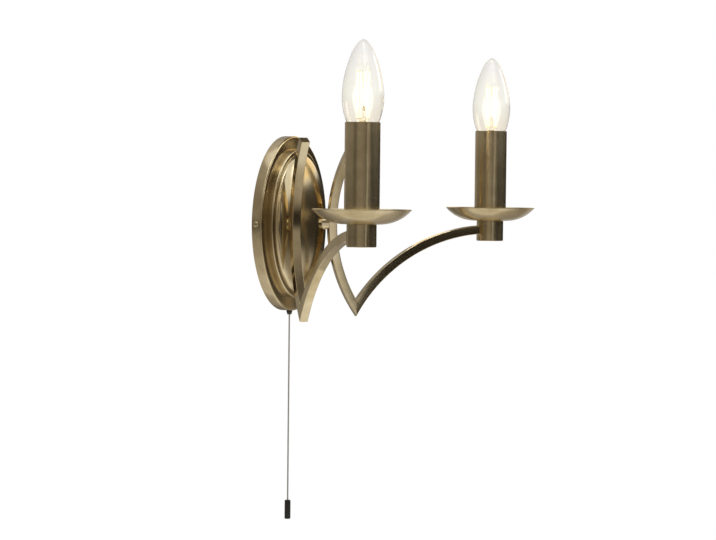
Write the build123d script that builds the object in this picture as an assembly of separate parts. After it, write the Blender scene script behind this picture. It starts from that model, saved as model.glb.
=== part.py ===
from build123d import *
import os
from math import acos, asin, cos, degrees, pi, radians, sin, sqrt, tan

# Double arm candle wall light with a pull-cord switch. Millimetres, +Z up, +X right
# seen from the room, -Y into the room. The wall is the plane y = 0, and the origin is
# the middle of the wall bracket's back face.

# ------------------------------------------------------------------ fits, and how far a cut runs past its face
seat_gap = 0.05
close_fit = 0.03
hole_play = 0.1
screw_play = 0.25
past = 1.0

# ------------------------------------------------------------------ canopy
plate_half_width = 63.5
plate_half_height = 79.5
plate_sheet = 1.0
rim_depth = 10.0
rim_round = 1.6
ledge_width = 11.5
step_rise = 5.0
step_round = 1.4
groove_width = 4.8
dome_rise = 11.4

# ------------------------------------------------------------------ wall bracket
strap_width = 20.0
strap_sheet = 1.5
strap_end_gap = 0.85
tab_width = 16.0
tab_reach = 7.5
slot_spacing = 70.0
slot_length = 12.0
slot_width = 5.0
cable_hole_radius = 7.0
lug_width = 24.0
lug_top = 36.0
lug_round = 3.0
side_screw_depth = 4.0
side_screw_radius = 1.75
side_screw_length = 7.0
side_screw_head_radius = 2.6
side_screw_head = 1.2
side_screw_head_round = 0.7
earth_screw_x = -22.0
earth_screw_radius = 2.0
earth_head_radius = 3.6
earth_head = 2.4

# ------------------------------------------------------------------ terminal block
pole_pitch = 10.0
pole_count = 3
block_height = 16.0
block_depth = 13.0
block_centre_z = 24.0
block_base = 4.0
block_base_margin = 4.0
pole_shell_radius = 4.2
insert_radius = 2.4
insert_bore_radius = 1.5
pole_screw_radius = 1.2
pole_screw_offset = 4.2
pole_screw_recess = 1.0
tower_radius = 2.6
insert_recess = 1.0
block_screw_radius = 1.4

# ------------------------------------------------------------------ arms, in the arm's own upright plane
arm_splay = 41.3
arm_offset = 10.8
bar = 8.0
bar_wall = 1.0
bar_chamfer = 0.5
bow_reach = 39.0
bow_radius = 143.0
bow_top = 75.0
bow_cap_sheet = 1.2
bow_cap_plug = 4.0
candle_reach = 192.6
branch_radius = 152.8
arm_entry_height = 10.7

# ------------------------------------------------------------------ bosses between canopy and arms
boss_radius = 5.5
nipple_radius = 3.0
nipple_bore_radius = 2.0
nipple_inner_end = 18.5
saddle_radius = 6.0
saddle_face = 26.0
nut_across_flats = 10.0
nut_thickness = 3.5

# ------------------------------------------------------------------ cup, drip dish and sleeve
cup_base = -15.5
cup_height = 18.9
cup_radius = 12.5
cup_wall = 2.0
cup_web = 5.0
cup_disc = 1.5
cup_chamfer = 0.4
dish_radius = 41.5
dish_depth = 12.1
dish_floor_radius = 15.2
dish_sheet = 0.8
tube_radius = 5.0
tube_bore_radius = 3.6
clamp_nut_flats = 14.0
clamp_nut_height = 3.5
clamp_washer_radius = 9.0
clamp_washer = 0.8
sleeve_radius = 14.75
sleeve_wall = 0.7
sleeve_length = 83.4

# ------------------------------------------------------------------ lampholder
holder_base_height = 12.0
holder_thread_height = 8.4
holder_taper = 3.0
holder_taper_height = 4.0
holder_radius = 12.0
holder_collar_radius = 13.7
holder_collar_height = 5.0
holder_wall = 2.4
holder_floor = 3.0
holder_drop = 6.0
holder_lip_drop = 0.8
shell_drop = 1.5
shell_sheet = 0.5
thread_play = 0.3
contact_width = 5.0
contact_sheet = 0.5
contact_end_gap = 0.5
contact_foot_length = 2.0
contact_foot_height = 1.5

# ------------------------------------------------------------------ lamp
lamp_length = 97.0
glass_radius = 17.5
glass_wall = 0.7
glass_belly = 21.0
glass_tip = 68.4
shoulder_radius = 13.3
shoulder_drop = 0.5
upper_radius = 14.4
upper_height = 43.8
flame_radius = 8.05
flame_height = 60.2
neck_radius = 7.6
neck_slope = 0.75
tip_slope = 0.12
neck_drop = 8.5
cap_radius = 6.95
cap_sheet = 0.4
cap_foot_taper = 1.2
cap_foot_height = 1.5
cap_flare = 2.0
button_radius = 2.4
button_height = 2.0
insulator_height = 3.0
stem_radius = 3.4
stem_skirt = 1.0
stem_neck = 3.0
stem_taper = 0.6
stem_height = 22.0
filament_count = 4
filament_radius = 0.9
filament_length = 38.0
filament_ring = 5.0
filament_foot = 12.0
wire_radius = 0.35

# ------------------------------------------------------------------ pull switch
cord_depth = 5.0
cord_radius = 0.7
cord_drop = 170.5
case_width = 20.0
case_back = 1.0
case_depth = 12.6
case_base = -64.0
case_height = 26.0
case_floor = 2.0
case_round = 1.5
lid_sheet = 1.6
nozzle_radius = 3.5
nozzle_seat_gap = 0.2
spigot_radius = 2.0
spigot_length = 2.4
cord_bore_radius = 1.2
plunger_radius = 3.0
plunger_height = 6.0
pull_travel = 8.0
spring_radius = 2.9
spring_length = 14.0
spring_wall = 0.6
bush_top_radius = 2.7
bush_tip_radius = 2.0
bush_length = 3.6
bush_land = 0.8
bob_radius = 2.75
bob_length = 17.3
bob_round = 0.6

# ------------------------------------------------------------------ inner leads
lead_radius = 1.0
lead_run = 25.0
tight_bend = 3.6
nipple_run = 5.0
block_run = 6.0
block_entry = 1.0
switch_lead_spread = 5.0
switch_lead_gap = 2.2
switch_lead_back = 3.0
switch_lead_rise = 8.0

# sizes that follow from the ones above
strap_half = plate_half_width - plate_sheet - strap_end_gap
cup_top = cup_base + cup_height
floor_top = cup_top + dish_sheet
sleeve_top = floor_top + sleeve_length
cap_rim = sleeve_top - neck_drop
lamp_foot = sleeve_top + glass_tip - lamp_length
bow_centre = bow_reach + bow_radius
bow_back = bow_reach - bar / 2
branch_centre = cup_base + arm_entry_height - branch_radius
step_depth = rim_depth + step_rise
rim_foot = -(plate_half_height - plate_sheet)
nozzle_foot = rim_foot + nozzle_seat_gap
spigot_foot = nozzle_foot - spigot_length
bush_top = -plate_half_height
bush_foot = bush_top - bush_length

middle_foot = (Align.CENTER, Align.CENTER, Align.MIN)


# ------------------------------------------------------------------ shared shapes
def turned(*points):
    """A solid of revolution about Z from (radius, height) corners."""
    return revolve(Plane.XZ * make_face(Polyline(*points, close=True)), Axis.Z)


def rod(start, direction, radius, length):
    """A round bar from a point, along a direction."""
    return Plane(origin=start, z_dir=direction) * Cylinder(radius, length, align=middle_foot)


def pipe(start, direction, radius, bore, length):
    return rod(start, direction, radius, length) - rod(start, direction, bore, length)


def hex_nut(flats, height, bore):
    return extrude(RegularPolygon(flats / 2, 6, major_radius=False), height) - Cylinder(
        bore, height, align=middle_foot)


def bend_radius(before, corner, after):
    """The largest bend that two runs leave room for, kept small where the turn is sharp."""
    turn = (corner - before).get_angle(after - corner)
    shorter = min((corner - before).length, (after - corner).length)
    roomy = 0.45 * shorter / tan(radians(turn / 2))
    return min(roomy, tight_bend) if turn > 30 else roomy


def lead(points):
    """A round lead along straight runs joined by tangent arcs."""
    radii = [bend_radius(*points[number:number + 3]) for number in range(len(points) - 2)]
    path = FilletPolyline(*points, radius=radii)
    start = Plane(origin=path @ 0, z_dir=path % 0)
    return sweep(start * Circle(lead_radius), path=path)


def on_arm(side, part):
    """Place a piece drawn in the arm's plane (X outwards, Z up) on its side."""
    turn = -90 + side * arm_splay
    return Location((side * arm_offset, 0, 0), (0, 0, turn)) * part


def on_candle(side, part):
    return on_arm(side, Pos(candle_reach, 0, 0) * part)


# ------------------------------------------------------------------ canopy
def canopy_form(skin):
    """The stepped oval form, drawn in from its outside by the skin."""
    rim = extrude(Plane.XZ.offset(-skin) * Ellipse(plate_half_width - skin, plate_half_height - skin),
                  rim_depth)
    rim = fillet(rim.edges().group_by(Axis.Y)[0], rim_round - skin / 2)
    ledge = ledge_width + skin
    step = extrude(Plane.XZ.offset(-skin) * Ellipse(plate_half_width - ledge, plate_half_height - ledge),
                   step_depth)
    step = fillet(step.edges().group_by(Axis.Y)[0], step_round - skin / 2)
    groove = ledge + groove_width
    dome = scale(Sphere(1), by=(plate_half_width - groove, dome_rise, plate_half_height - groove))
    return rim + step + Pos(0, skin - step_depth, 0) * dome


def canopy():
    shell = canopy_form(0) - canopy_form(plate_sheet)
    for side in (-1, 1):
        shell -= rod((side * (plate_half_width - 2 * plate_sheet), -side_screw_depth, 0), (side, 0, 0),
                     side_screw_radius + screw_play, 3 * plate_sheet)
        shell -= on_arm(side, rod((nipple_inner_end, 0, 0), (1, 0, 0), nipple_radius + hole_play,
                                  bow_back - nipple_inner_end))
    return shell - rod((0, -cord_depth, rim_foot + plate_sheet), (0, 0, -1),
                       spigot_radius + hole_play, 3 * plate_sheet)


# ------------------------------------------------------------------ wall bracket
def strap_hole(x, z, radius):
    return rod((x, strap_sheet, z), (0, -1, 0), radius, 3 * strap_sheet)


def wall_bracket():
    strap = Pos(0, -strap_sheet / 2, 0) * Box(2 * strap_half, strap_sheet, strap_width)
    lug = Pos(0, -strap_sheet / 2, lug_top / 2) * Box(lug_width, strap_sheet, lug_top)
    part = strap + lug
    for side in (-1, 1):
        part += Pos(side * (strap_half - strap_sheet / 2), -tab_reach / 2, 0) * Box(
            strap_sheet, tab_reach, tab_width)
    part = fillet(part.edges().filter_by(Axis.Y).group_by(Axis.Z)[-1], lug_round)
    for side in (-1, 1):
        slot = Plane.XZ * Pos(side * slot_spacing / 2, 0) * SlotOverall(slot_length, slot_width)
        part -= extrude(slot, strap_sheet)
        part -= rod((side * (strap_half - 2 * strap_sheet), -side_screw_depth, 0), (side, 0, 0),
                    side_screw_radius, 3 * strap_sheet)
    part -= strap_hole(0, 0, cable_hole_radius)
    part -= strap_hole(earth_screw_x, 0, earth_screw_radius)
    return part - strap_hole(0, block_centre_z, block_screw_radius)


def side_screws():
    """Two screws that enter the rim at three and nine o'clock and bite in the strap's tabs."""
    screws = []
    for side in (-1, 1):
        head_seat = plate_half_width + close_fit
        shank_end = head_seat - side_screw_length
        shank = rod((side * shank_end, -side_screw_depth, 0), (side, 0, 0),
                    side_screw_radius - close_fit, side_screw_length)
        head = rod((side * head_seat, -side_screw_depth, 0), (side, 0, 0),
                   side_screw_head_radius, side_screw_head)
        head = fillet(head.edges().group_by(Axis.X)[-1 if side > 0 else 0], side_screw_head_round)
        screws.append(shank + head)
    return Compound(children=screws)


def earth_screw():
    shank = rod((earth_screw_x, -strap_sheet - earth_head, 0), (0, 1, 0),
                earth_screw_radius - close_fit, strap_sheet + earth_head)
    head = rod((earth_screw_x, -strap_sheet - earth_head, 0), (0, 1, 0), earth_head_radius, earth_head)
    return shank + head


# ------------------------------------------------------------------ terminal block
def pole_x(number):
    return (number - (pole_count - 1) / 2) * pole_pitch


block_back = -strap_sheet
block_front = block_back - block_depth
pole_axis_y = block_back - block_depth / 2


def terminal_block():
    part = Pos(0, block_back - block_base / 2, block_centre_z) * Box(
        pole_pitch * (pole_count - 1) + 2 * block_base_margin, block_base, block_height)
    for number in range(pole_count):
        part += Pos(pole_x(number), pole_axis_y, block_centre_z) * Cylinder(
            pole_shell_radius, block_height)
        for up in (-1, 1):
            tower = rod((pole_x(number), pole_axis_y, block_centre_z + up * pole_screw_offset),
                        (0, -1, 0), tower_radius, block_depth / 2)
            part += tower
    for number in range(pole_count):
        part -= Pos(pole_x(number), pole_axis_y, block_centre_z) * Cylinder(
            insert_radius, block_height + 2 * past)
        for up in (-1, 1):
            part -= rod((pole_x(number), pole_axis_y, block_centre_z + up * pole_screw_offset),
                        (0, -1, 0), pole_screw_radius + screw_play, block_depth)
    return part


def terminal_inserts():
    inserts = []
    for number in range(pole_count):
        insert = Pos(pole_x(number), pole_axis_y, block_centre_z) * Cylinder(
            insert_radius - close_fit, block_height - 2 * insert_recess)
        insert -= Pos(pole_x(number), pole_axis_y, block_centre_z) * Cylinder(
            insert_bore_radius, block_height)
        for up in (-1, 1):
            insert -= rod((pole_x(number), pole_axis_y, block_centre_z + up * pole_screw_offset),
                          (0, -1, 0), pole_screw_radius, block_depth / 2)
        inserts.append(insert)
    return Compound(children=inserts)


def terminal_screws():
    screws = []
    for number in range(pole_count):
        for up in (-1, 1):
            screws.append(rod(
                (pole_x(number), block_front + pole_screw_recess, block_centre_z + up * pole_screw_offset),
                (0, 1, 0), pole_screw_radius - close_fit,
                block_depth / 2 - pole_screw_recess - insert_bore_radius))
    return Compound(children=screws)


# ------------------------------------------------------------------ arms
def square(size, corner):
    section = Rectangle(size, size)
    return chamfer(section.vertices(), corner) if corner else section


def mitre():
    """Where the two centre lines of an arm cross, and the direction across their mitre."""
    dx = candle_reach - bow_centre
    dz = branch_centre
    apart = sqrt(dx * dx + dz * dz)
    along = (bow_radius ** 2 - branch_radius ** 2 + apart ** 2) / (2 * apart)
    off = sqrt(bow_radius ** 2 - along ** 2)
    x = bow_centre + (along * dx + off * dz) / apart
    z = (along * dz - off * dx) / apart
    up_bow = Vector(z, 0, bow_centre - x) * (1 / bow_radius)
    up_branch = Vector(z - branch_centre, 0, candle_reach - x) * (1 / branch_radius)
    split_line = (up_bow + up_branch).normalized()
    return Vector(x, 0, z), Vector(split_line.Z, 0, -split_line.X)


bow_axis = Axis((bow_centre, 0, 0), (0, 1, 0))
branch_axis = Axis((candle_reach, 0, branch_centre), (0, 1, 0))
mitre_point, mitre_across = mitre()
mitre_overrun = 1.5 * bar
bow_up = degrees(asin(bow_top / bow_radius))
bow_turn = degrees(asin(-mitre_point.Z / bow_radius))
bow_down = bow_turn + degrees(mitre_overrun / bow_radius)
branch_turn = degrees(acos((mitre_point.Z - branch_centre) / branch_radius))
branch_down = branch_turn + degrees(mitre_overrun / branch_radius)


def bow_bar(size, corner, start, turn):
    """A length of square bar along the bow's arc; angles from its middle, positive upwards."""
    section = Pos(bow_reach, 0, 0) * square(size, corner)
    return revolve(section.rotate(bow_axis, start), bow_axis, turn)


def branch_bar(size, corner):
    crest = Plane(origin=(candle_reach, 0, branch_centre + branch_radius), z_dir=(1, 0, 0))
    section = (crest * square(size, corner)).rotate(branch_axis, -branch_down)
    return revolve(section, branch_axis, branch_down)


def mitre_block(direction):
    return Plane(origin=mitre_point, z_dir=mitre_across * direction) * Box(
        5 * bar, 5 * bar, 3 * bar, align=middle_foot)


def bow():
    cap_turn = degrees(bow_cap_sheet / bow_radius)
    outside = bow_bar(bar, bar_chamfer, -bow_down, bow_down + bow_up - cap_turn)
    past_turn = degrees(past / bow_radius)
    inside = bow_bar(bar - 2 * bar_wall, 0, -bow_down - past_turn, bow_down + bow_up + 2 * past_turn)
    tube = outside - inside - mitre_block(1)
    return tube - rod((bow_back - past, 0, 0), (1, 0, 0), nipple_radius + close_fit, bar / 2)


def bow_cap():
    """The plate that closes the bow's free end, with the plug that holds it in the tube."""
    cap_turn = degrees(bow_cap_sheet / bow_radius)
    plug_turn = degrees(bow_cap_plug / bow_radius)
    plate = bow_bar(bar, bar_chamfer, bow_up - cap_turn, cap_turn)
    plug = bow_bar(bar - 2 * bar_wall - 2 * seat_gap, 0, bow_up - cap_turn - plug_turn, plug_turn)
    return plate + plug


def branch():
    outside = branch_bar(bar, bar_chamfer)
    inside = branch_bar(bar - 2 * bar_wall, 0)
    cup_space = Pos(candle_reach, 0, cup_base) * Cylinder(
        cup_radius + close_fit, cup_height, align=middle_foot)
    return outside - inside - mitre_block(-1) - cup_space


# ------------------------------------------------------------------ bosses
def boss(side):
    """A short hollow spacer, shaped to the dome at one end and flat on the bow at the other."""
    spacer = on_arm(side, rod((saddle_face, 0, 0), (1, 0, 0), boss_radius,
                              bow_back - seat_gap - saddle_face))
    spacer -= on_arm(side, rod((0, 0, 0), (1, 0, 0), nipple_radius + hole_play, bow_back))
    return spacer - canopy_form(-seat_gap)


def boss_nipples():
    return Compound(children=[
        on_arm(side, pipe((nipple_inner_end, 0, 0), (1, 0, 0), nipple_radius, nipple_bore_radius,
                          bow_back + bar_wall - nipple_inner_end)) for side in (-1, 1)])


def saddle_washers():
    """Washers shaped to the inside of the dome, so that the nuts pull along the arm."""
    washers = []
    for side in (-1, 1):
        plug = on_arm(side, rod((saddle_face, 0, 0), (1, 0, 0), saddle_radius, bow_reach - saddle_face))
        plug -= on_arm(side, rod((0, 0, 0), (1, 0, 0), nipple_radius + hole_play, bow_reach))
        washers.append((plug & canopy_form(plate_sheet + seat_gap)).solids().sort_by(Axis.Y)[-1])
    return Compound(children=washers)


def boss_nuts():
    return Compound(children=[
        on_arm(side, Plane(origin=(saddle_face - nut_thickness, 0, 0), z_dir=(1, 0, 0)) * hex_nut(
            nut_across_flats, nut_thickness, nipple_radius + close_fit)) for side in (-1, 1)])


# ------------------------------------------------------------------ cup and drip dish
def cup():
    """Turned cup: solid web with the threaded hole on top, open below for the lead."""
    hollow = cup_radius - cup_wall
    part = turned((0, cup_base), (cup_radius - cup_chamfer, cup_base),
                  (cup_radius, cup_base + cup_chamfer), (cup_radius, cup_top - cup_chamfer),
                  (cup_radius - cup_chamfer, cup_top), (0, cup_top))
    part -= Pos(0, 0, cup_base - past) * Cylinder(hollow, cup_height - cup_web + past, align=middle_foot)
    part -= Pos(0, 0, cup_top - cup_web - past) * Cylinder(tube_radius + close_fit, cup_web + 2 * past,
                                                           align=middle_foot)
    return part - rod((0, 0, cup_base + arm_entry_height), (-1, 0, 0), bar / 2 - bar_wall, cup_radius + past)


def cup_discs():
    """Pressed discs that close the cups from below."""
    disc = Pos(0, 0, cup_base) * Cylinder(cup_radius - cup_wall - close_fit, cup_disc, align=middle_foot)
    return Compound(children=[on_candle(side, disc) for side in (-1, 1)])


def drip_dish():
    """Spun dish: flat floor on the cup, then one arc, tangent to it, up to a thin rim."""
    run = dish_radius - dish_floor_radius
    bend = (run * run + dish_depth * dish_depth) / (2 * dish_depth)
    rim_angle = asin(run / bend)
    inner_bend = bend - dish_sheet
    centre = (dish_floor_radius, cup_top + bend)

    def on_arc(size, angle):
        return (centre[0] + size * sin(angle), centre[1] - size * cos(angle))

    under = ThreePointArc(on_arc(bend, 0), on_arc(bend, rim_angle / 2), on_arc(bend, rim_angle))
    over = ThreePointArc(on_arc(inner_bend, rim_angle), on_arc(inner_bend, rim_angle / 2),
                         on_arc(inner_bend, 0))
    hole = tube_radius + hole_play
    outline = [under, Line(under @ 1, over @ 0), over,
               Polyline(over @ 1, (hole, floor_top), (hole, cup_top), under @ 0)]
    return revolve(Plane.XZ * make_face(outline), Axis.Z)


def dish_washers():
    washer = Pos(0, 0, floor_top) * Cylinder(clamp_washer_radius, clamp_washer, align=middle_foot)
    washer -= Pos(0, 0, floor_top) * Cylinder(tube_radius + hole_play, clamp_washer,
                                              align=middle_foot)
    return Compound(children=[on_candle(side, washer) for side in (-1, 1)])


def dish_nuts():
    nut = Pos(0, 0, floor_top + clamp_washer) * hex_nut(clamp_nut_flats, clamp_nut_height,
                                                        tube_radius + close_fit)
    return Compound(children=[on_candle(side, nut) for side in (-1, 1)])


tube_foot = cup_top - cup_web
holder_foot = floor_top + clamp_washer + clamp_nut_height + holder_drop


def holder_tubes():
    """Hollow threaded tubes that carry the dish, the nut and the lampholder on the cup."""
    height = holder_foot + holder_thread_height - tube_foot
    tube = pipe((0, 0, tube_foot), (0, 0, 1), tube_radius, tube_bore_radius, height)
    return Compound(children=[on_candle(side, tube) for side in (-1, 1)])


# ------------------------------------------------------------------ lampholder
holder_top = cap_rim - holder_lip_drop
body_foot = holder_foot + holder_base_height
shell_radius = cap_radius + thread_play
floor_level = lamp_foot - contact_sheet - contact_foot_height


def holder_base():
    """Lower cap of the lampholder, screwed on the hollow tube."""
    height = holder_base_height
    part = turned((0, holder_foot), (holder_radius - holder_taper, holder_foot),
                  (holder_radius, holder_foot + holder_taper_height),
                  (holder_radius, holder_foot + height), (0, holder_foot + height))
    part -= Pos(0, 0, holder_foot) * Cylinder(tube_radius + close_fit, height, align=middle_foot)
    return part - Pos(0, 0, holder_foot + holder_thread_height) * Cylinder(
        holder_radius - holder_wall, height, align=middle_foot)


def holder_body():
    """Upper part of the lampholder, with the collar that centres the candle sleeve."""
    part = Pos(0, 0, body_foot) * Cylinder(holder_radius, holder_top - body_foot, align=middle_foot)
    part += Pos(0, 0, holder_top - holder_collar_height) * Cylinder(
        holder_collar_radius, holder_collar_height, align=middle_foot)
    part -= Pos(0, 0, floor_level) * Cylinder(shell_radius + shell_sheet + seat_gap,
                                              holder_top - floor_level + past, align=middle_foot)
    return part - Pos(0, 0, body_foot) * Cylinder(
        holder_radius - holder_wall, floor_level - holder_floor - body_foot, align=middle_foot)


def holder_shell():
    """Threaded brass shell of the lampholder, left plain without its thread."""
    height = holder_top - shell_drop - lamp_foot - insulator_height
    return pipe((0, 0, lamp_foot + insulator_height), (0, 0, 1), shell_radius + shell_sheet,
                shell_radius, height)


def holder_contact():
    """Sprung tongue under the lamp's button."""
    half = shell_radius - contact_end_gap
    tongue = Pos(0, 0, lamp_foot - contact_sheet) * Box(2 * half, contact_width, contact_sheet,
                                                        align=middle_foot)
    foot = Pos(half - contact_foot_length / 2, 0, floor_level) * Box(
        contact_foot_length, contact_width, contact_foot_height + contact_sheet, align=middle_foot)
    return tongue + foot


def candle_sleeve():
    return pipe((0, 0, floor_top), (0, 0, 1), sleeve_radius, sleeve_radius - sleeve_wall, sleeve_length)


# ------------------------------------------------------------------ lamp
def glass_outline(inset):
    """Candle-shaped outline from the neck to the tip, drawn in by the inset."""
    belly = (glass_radius - inset, sleeve_top + glass_belly)
    neck = (neck_radius - inset, cap_rim)
    tip = (0, sleeve_top + glass_tip - inset)
    lower = Spline(neck, (shoulder_radius - inset, sleeve_top - shoulder_drop), belly,
                   tangents=((1, neck_slope), (0, 1)))
    upper = Spline(belly, (upper_radius - inset, sleeve_top + upper_height),
                   (flame_radius - inset, sleeve_top + flame_height), tip,
                   tangents=((0, 1), (-1, tip_slope)))
    return lower, upper, tip, neck


def glass_solid(inset):
    lower, upper, tip, neck = glass_outline(inset)
    closing = Polyline(tip, (0, neck[1]), neck)
    return revolve(Plane.XZ * make_face([lower, upper, closing]), Axis.Z)


def bulb_glass():
    return glass_solid(0) - glass_solid(glass_wall)


def bulb_cap():
    """Metal screw shell of the lamp, left plain without its thread."""
    foot = lamp_foot + insulator_height
    shell = turned((0, foot), (cap_radius - cap_foot_taper, foot), (cap_radius, foot + cap_foot_height),
                   (cap_radius, cap_rim - cap_flare), (neck_radius, cap_rim - hole_play),
                   (0, cap_rim - hole_play))
    return shell - Pos(0, 0, foot + cap_foot_height) * Cylinder(
        cap_radius - cap_sheet, cap_rim - foot, align=middle_foot)


def bulb_contact():
    """Glass insulator with the contact button under it."""
    top = lamp_foot + insulator_height
    insulator = turned((0, lamp_foot + button_height / 2), (button_radius, lamp_foot + button_height / 2),
                       (cap_radius - cap_foot_taper - hole_play, top), (0, top))
    return insulator + Pos(0, 0, lamp_foot) * Cylinder(button_radius, button_height, align=middle_foot)


def bulb_stem():
    """Glass stem that carries the filaments."""
    foot = lamp_foot + insulator_height + cap_foot_height + hole_play
    skirt = cap_radius - cap_sheet - hole_play
    return turned((0, foot), (skirt, foot), (skirt, cap_rim - stem_skirt), (stem_radius, cap_rim + stem_neck),
                  (stem_radius * stem_taper, cap_rim + stem_height), (0, cap_rim + stem_height))


def around_stem(piece):
    """A copy of the piece at each filament."""
    return [Rotation(0, 0, (number + 0.5) * 360 / filament_count) * piece
            for number in range(filament_count)]


def bulb_filaments():
    stick = Pos(filament_ring, 0, cap_rim + filament_foot) * Cylinder(
        filament_radius, filament_length, align=middle_foot)
    return Compound(children=around_stem(stick))


def bulb_wires():
    """A spider from the stem's tip over the filaments, and a short wire under each one."""
    foot = cap_rim + filament_foot - wire_radius
    top = cap_rim + filament_foot + filament_length + wire_radius
    reach = filament_ring + filament_radius
    stem_slope = stem_radius * (1 - stem_taper) / (stem_height - stem_neck)
    stem_there = stem_radius - stem_slope * (filament_foot - wire_radius - stem_neck)
    spider = rod((0, 0, cap_rim + stem_height), (0, 0, 1), wire_radius, top - cap_rim - stem_height)
    for arm in around_stem(rod((0, 0, top), (1, 0, 0), wire_radius, reach)):
        spider += arm
    inner = stem_there + seat_gap
    feet = around_stem(rod((inner, 0, foot), (1, 0, 0), wire_radius, reach - inner))
    return Compound(children=[spider] + feet)


# ------------------------------------------------------------------ pull switch
case_mid = -(case_back + case_depth / 2)
plunger_foot = case_base + case_floor + spring_length


def switch_case():
    """Moulded switch body: bored for the plunger, with the nozzle that reaches the rim."""
    part = Pos(0, case_mid, case_base) * Box(case_width, case_depth, case_height, align=middle_foot)
    part = fillet(part.edges().filter_by(Axis.Z), case_round)
    part += rod((0, -cord_depth, case_base + past), (0, 0, -1), nozzle_radius,
                case_base + past - nozzle_foot)
    part += rod((0, -cord_depth, nozzle_foot), (0, 0, -1), spigot_radius, spigot_length)
    bore_foot = case_base + case_floor
    part -= rod((0, -cord_depth, bore_foot), (0, 0, 1), plunger_radius + hole_play, case_height)
    return part - rod((0, -cord_depth, bore_foot + past), (0, 0, -1), cord_bore_radius,
                      bore_foot - spigot_foot + 2 * past)


def switch_lid():
    part = Pos(0, case_mid, case_base + case_height) * Box(case_width, case_depth, lid_sheet,
                                                           align=middle_foot)
    return fillet(part.edges().filter_by(Axis.Z), case_round)


def switch_plunger():
    """Slides in the case, with the cord knotted in its hollow."""
    part = rod((0, -cord_depth, plunger_foot), (0, 0, 1), plunger_radius, plunger_height)
    return part - rod((0, -cord_depth, plunger_foot), (0, 0, 1), cord_radius + close_fit, plunger_height)


def plunger_spring():
    """Return spring under the plunger; its turns are drawn as one tube."""
    return pipe((0, -cord_depth, case_base + case_floor), (0, 0, 1), spring_radius,
                spring_radius - spring_wall, spring_length)


def switch_bush():
    """Small tapered nut on the switch's nozzle, under the rim, that lets the cord out."""
    top = bush_top - seat_gap
    part = Pos(0, -cord_depth, 0) * turned((cord_bore_radius, top), (bush_top_radius, top),
                                           (bush_top_radius, top - bush_land), (bush_tip_radius, bush_foot),
                                           (cord_bore_radius, bush_foot))
    return part - rod((0, -cord_depth, spigot_foot - hole_play), (0, 0, 1), spigot_radius + close_fit,
                      spigot_length)


def inner_cord():
    """The cord from the plunger to the bush's mouth."""
    return rod((0, -cord_depth, plunger_foot + plunger_height), (0, 0, -1), cord_radius,
               plunger_foot + plunger_height - bush_foot)


def pull_cord():
    """The free cord, which hangs straight under its end weight."""
    return rod((0, -cord_depth, bush_foot), (0, 0, -1), cord_radius, cord_drop)


def cord_end():
    top = bush_foot - cord_drop
    part = rod((0, -cord_depth, top), (0, 0, -1), bob_radius, bob_length)
    return fillet(part.edges().filter_by(GeomType.CIRCLE), bob_round)


# ------------------------------------------------------------------ inner leads
block_foot = block_centre_z - block_height / 2


def steps(first, last, run):
    """Angles between two ends, in equal steps that are each at most the run."""
    count = int(abs(last - first) / run) + 1
    return [first + (last - first) * number / count for number in range(1, count)]


def arm_route():
    """Where an arm's lead lies in the arm's plane: nipple, bow, mitre, branch, cup and holder."""
    route = [(nipple_inner_end - nipple_run, 0), (bow_reach, 0)]
    for angle in steps(0, bow_turn, degrees(lead_run / bow_radius)):
        turn = radians(angle)
        route.append((bow_centre - bow_radius * cos(turn), -bow_radius * sin(turn)))
    route.append((mitre_point.X, mitre_point.Z))
    for angle in steps(branch_turn, 0, degrees(lead_run / branch_radius)):
        turn = radians(angle)
        route.append((candle_reach - branch_radius * sin(turn), branch_centre + branch_radius * cos(turn)))
    route.append((candle_reach, cup_base + arm_entry_height - lead_radius))
    route.append((candle_reach, floor_level - holder_floor))
    return route


def arm_leads():
    """From the terminal block through each arm to its lampholder."""
    leads = []
    for side in (-1, 1):
        turn = radians(arm_splay)
        out = Vector(side * sin(turn), -cos(turn), 0)
        pole = Vector(pole_x(1 + side), pole_axis_y, 0)
        points = [pole + Vector(0, 0, block_foot + block_entry), pole + Vector(0, 0, block_run)]
        for reach, height in arm_route():
            points.append(Vector(side * arm_offset, 0, height) + out * reach)
        leads.append(lead(points))
    return Compound(children=leads)


def switch_leads():
    """From the switch's lid to the terminal block."""
    lid_top = case_base + case_height + lid_sheet
    leads = []
    for side in (-1, 1):
        start = Vector(side * switch_lead_spread, case_mid - switch_lead_back, lid_top)
        end = Vector(side * switch_lead_gap, pole_axis_y, block_foot - close_fit)
        leads.append(lead([start, start + Vector(0, 0, switch_lead_rise),
                           end - Vector(0, 0, block_height), end]))
    return Compound(children=leads)


# ------------------------------------------------------------------ writing the pieces
parts = {
    "canopy": canopy(),
    "wall_bracket": wall_bracket(),
    "side_screws": side_screws(),
    "earth_screw": earth_screw(),
    "terminal_block": terminal_block(),
    "terminal_inserts": terminal_inserts(),
    "terminal_screws": terminal_screws(),
    "boss_nipples": boss_nipples(),
    "saddle_washers": saddle_washers(),
    "boss_nuts": boss_nuts(),
    "cup_discs": cup_discs(),
    "dish_washers": dish_washers(),
    "dish_nuts": dish_nuts(),
    "holder_tubes": holder_tubes(),
    "switch_case": switch_case(),
    "switch_lid": switch_lid(),
    "switch_plunger": switch_plunger(),
    "plunger_spring": plunger_spring(),
    "switch_bush": switch_bush(),
    "inner_cord": inner_cord(),
    "pull_cord": pull_cord(),
    "cord_end": cord_end(),
    "arm_leads": arm_leads(),
    "switch_leads": switch_leads(),
}

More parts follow.
